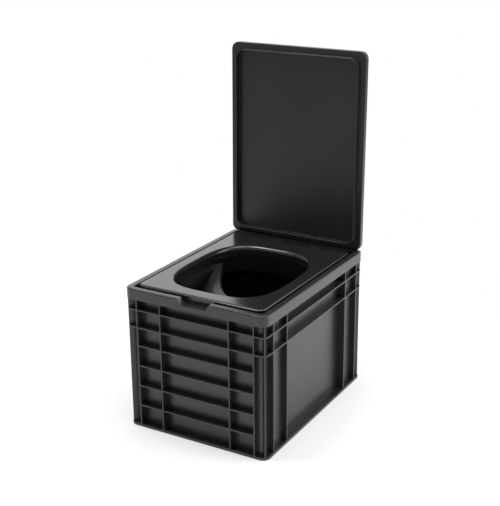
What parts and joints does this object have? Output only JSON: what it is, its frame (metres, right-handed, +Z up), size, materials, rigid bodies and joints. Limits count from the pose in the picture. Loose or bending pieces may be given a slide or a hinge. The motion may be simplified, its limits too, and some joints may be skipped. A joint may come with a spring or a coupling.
{
  "type": "urine-diverting dry toilet",
  "caption": "Portable dry toilet: ribbed box with hinged lid, lift-out seat plate with separating bowl, solids bucket and urine canister.",
  "frame": {"origin": "centre of the box's footprint, on the floor", "axes": "+Z up; -Y to the front, the side with the rim notch; +Y to the hinge side; +X to the right seen from the front"},
  "size_m": [0.3, 0.4043, 0.679],
  "materials": {
    "box_plastic": "semi-gloss moulded polypropylene, black",
    "lid_plastic": "satin moulded polypropylene, black",
    "seat_plastic": "smooth moulded polypropylene, black",
    "bowl_plastic": "smooth formed plastic, black",
    "hinge_plastic": "moulded nylon, black",
    "bucket_plastic": "matt moulded polypropylene, dark grey",
    "canister_plastic": "blow-moulded polyethylene, natural white",
    "cap_plastic": "moulded polypropylene, black",
    "seal_rubber": "soft rubber, dark grey",
    "steel": "zinc-plated steel wire, pins and screws"
  },
  "bodies": {
    "crate": {"crate": "box_plastic", "hinge_bracket_left": "hinge_plastic", "hinge_bracket_right": "hinge_plastic"},
    "lid": {"lid": "lid_plastic", "hinge_pin_left": "steel", "hinge_pin_right": "steel"},
    "insert": {"insert_plate": "seat_plastic", "separator_bowl": "bowl_plastic", "bowl_screw_1": "steel", "bowl_screw_2": "steel", "bowl_screw_3": "steel", "bowl_screw_4": "steel", "drain_seal": "seal_rubber"},
    "bucket": {"solids_bucket": "bucket_plastic"},
    "bail": {"bucket_bail": "steel", "bail_grip": "bucket_plastic"},
    "canister": {"urine_canister": "canister_plastic"},
    "cap": {"canister_cap": "cap_plastic", "cap_seal": "seal_rubber"}
  },
  "joints": [
    {"name": "lid_hinge", "type": "hinge", "parent": "crate", "child": "lid", "pos_m": [0, 0.19225, 0.28715], "axis": [1, 0, 0], "range_deg": [0, 91]},
    {"name": "insert_lift", "type": "slide", "parent": "crate", "child": "insert", "axis": [0, -0.2924, 0.9563], "range_m": [0, 0.5]},
    {"name": "bucket_lift", "type": "slide", "parent": "crate", "child": "bucket", "axis": [0, 0, 1], "range_m": [0, 0.295]},
    {"name": "canister_lift", "type": "slide", "parent": "crate", "child": "canister", "axis": [0, 0, 1], "range_m": [0, 0.295]},
    {"name": "bail_swing", "type": "hinge", "parent": "bucket", "child": "bail", "pos_m": [0, 0.058, 0.181], "axis": [-1, 0, 0], "range_deg": [0, 90]},
    {"name": "cap_turn", "type": "hinge", "parent": "canister", "child": "cap", "pos_m": [0, -0.13, 0.153], "axis": [0, 0, 1], "range_deg": [0, 90]}
  ],
  "couplings": [
    {"joint": "bucket_lift", "follows": "insert_lift", "ratio": 0.59},
    {"joint": "canister_lift", "follows": "insert_lift", "ratio": 0.59},
    {"joint": "bail_swing", "follows": "insert_lift", "rad_per_m": 3.1}
  ]
}
